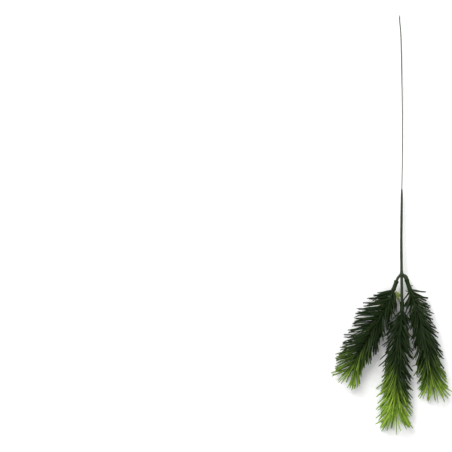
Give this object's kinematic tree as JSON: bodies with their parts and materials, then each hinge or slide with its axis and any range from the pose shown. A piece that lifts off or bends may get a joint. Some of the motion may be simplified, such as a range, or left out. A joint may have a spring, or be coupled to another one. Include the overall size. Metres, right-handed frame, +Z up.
{
  "type": "artificial spruce branch",
  "caption": "Moulded plastic spruce branch on a green wire stem: a stalk that forks into needle sprigs, dark green with light green tips.",
  "frame": {"origin": "middle of the branch's footprint, on the surface it lies on", "axes": "+Z up from the surface, +Y along the stem towards the wire's cut end, so the needles are at -Y, +X to the right sprig's side"},
  "size_m": [0.1184, 0.417, 0.0306],
  "materials": {
    "lacquered_wire": "satin green lacquer",
    "stalk_plastic": "dark green moulded plastic, satin",
    "needle_plastic": "soft moulded plastic, dark green with light green tips"
  },
  "bodies": {
    "root": {"wire": "lacquered_wire", "stalk": "stalk_plastic", "arm_left": "stalk_plastic", "arm_right": "stalk_plastic", "sprig_left": "needle_plastic", "sprig_centre": "needle_plastic", "sprig_right": "needle_plastic"}
  },
  "joints": []
}
